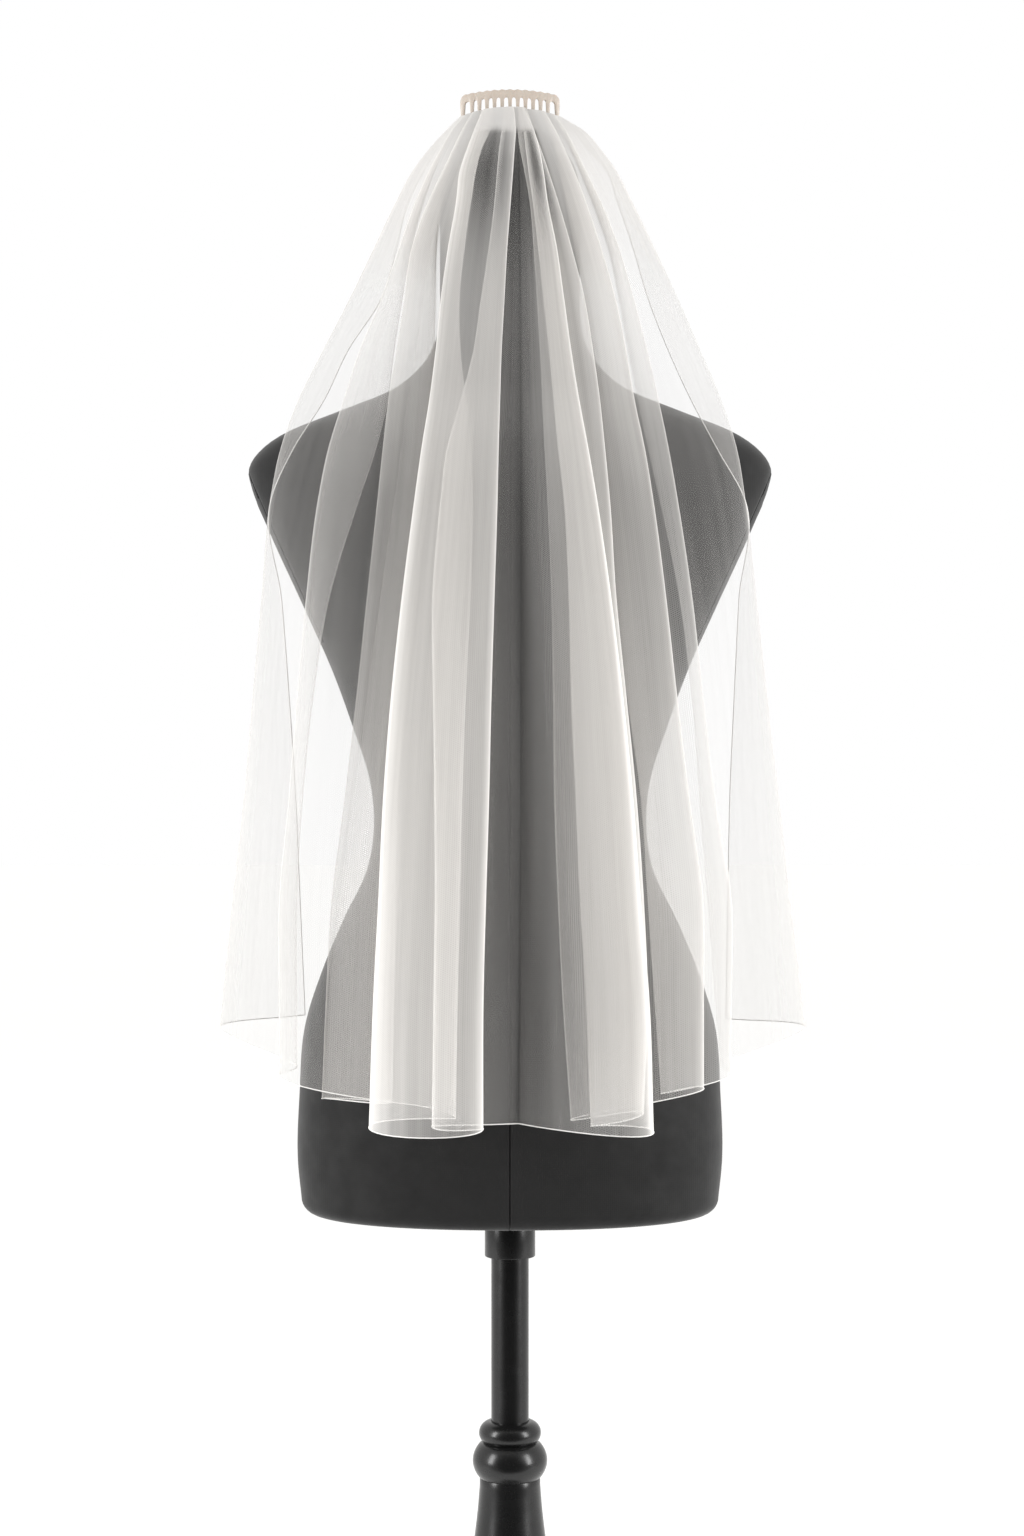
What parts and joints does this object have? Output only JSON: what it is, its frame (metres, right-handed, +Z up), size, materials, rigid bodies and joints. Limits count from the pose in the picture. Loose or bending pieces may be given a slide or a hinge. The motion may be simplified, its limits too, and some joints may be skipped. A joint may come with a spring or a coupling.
{
  "type": "bridal veil on a limbless dress form and stand",
  "caption": "Ivory tulle bridal veil with a pencil edge, gathered on a comb and hung over a limbless black dress form on a turned stand.",
  "frame": {"origin": "centre of the underside of the stand's round base, on the floor", "axes": "+Z up along the pole; -Y towards the side the form's back and the veil face; +X to the right as seen from behind"},
  "size_m": [0.4689, 0.4175, 1.6323],
  "materials": {
    "tulle": "sheer soft ivory tulle",
    "edging": "fine stitched pencil edge, ivory",
    "comb_plastic": "smooth beige moulded plastic",
    "form_cloth": "close black jersey over a padded body",
    "stand_lacquer": "black semi-gloss lacquer on steel and turned wood"
  },
  "bodies": {
    "root": {"veil_panel": "tulle", "veil_edge": "edging", "comb": "comb_plastic", "form_body": "form_cloth", "arm_plate_left": "form_cloth", "arm_plate_right": "form_cloth", "stand_collar": "stand_lacquer", "stand_pole": "stand_lacquer", "stand_column": "stand_lacquer", "stand_base": "stand_lacquer"}
  },
  "joints": []
}
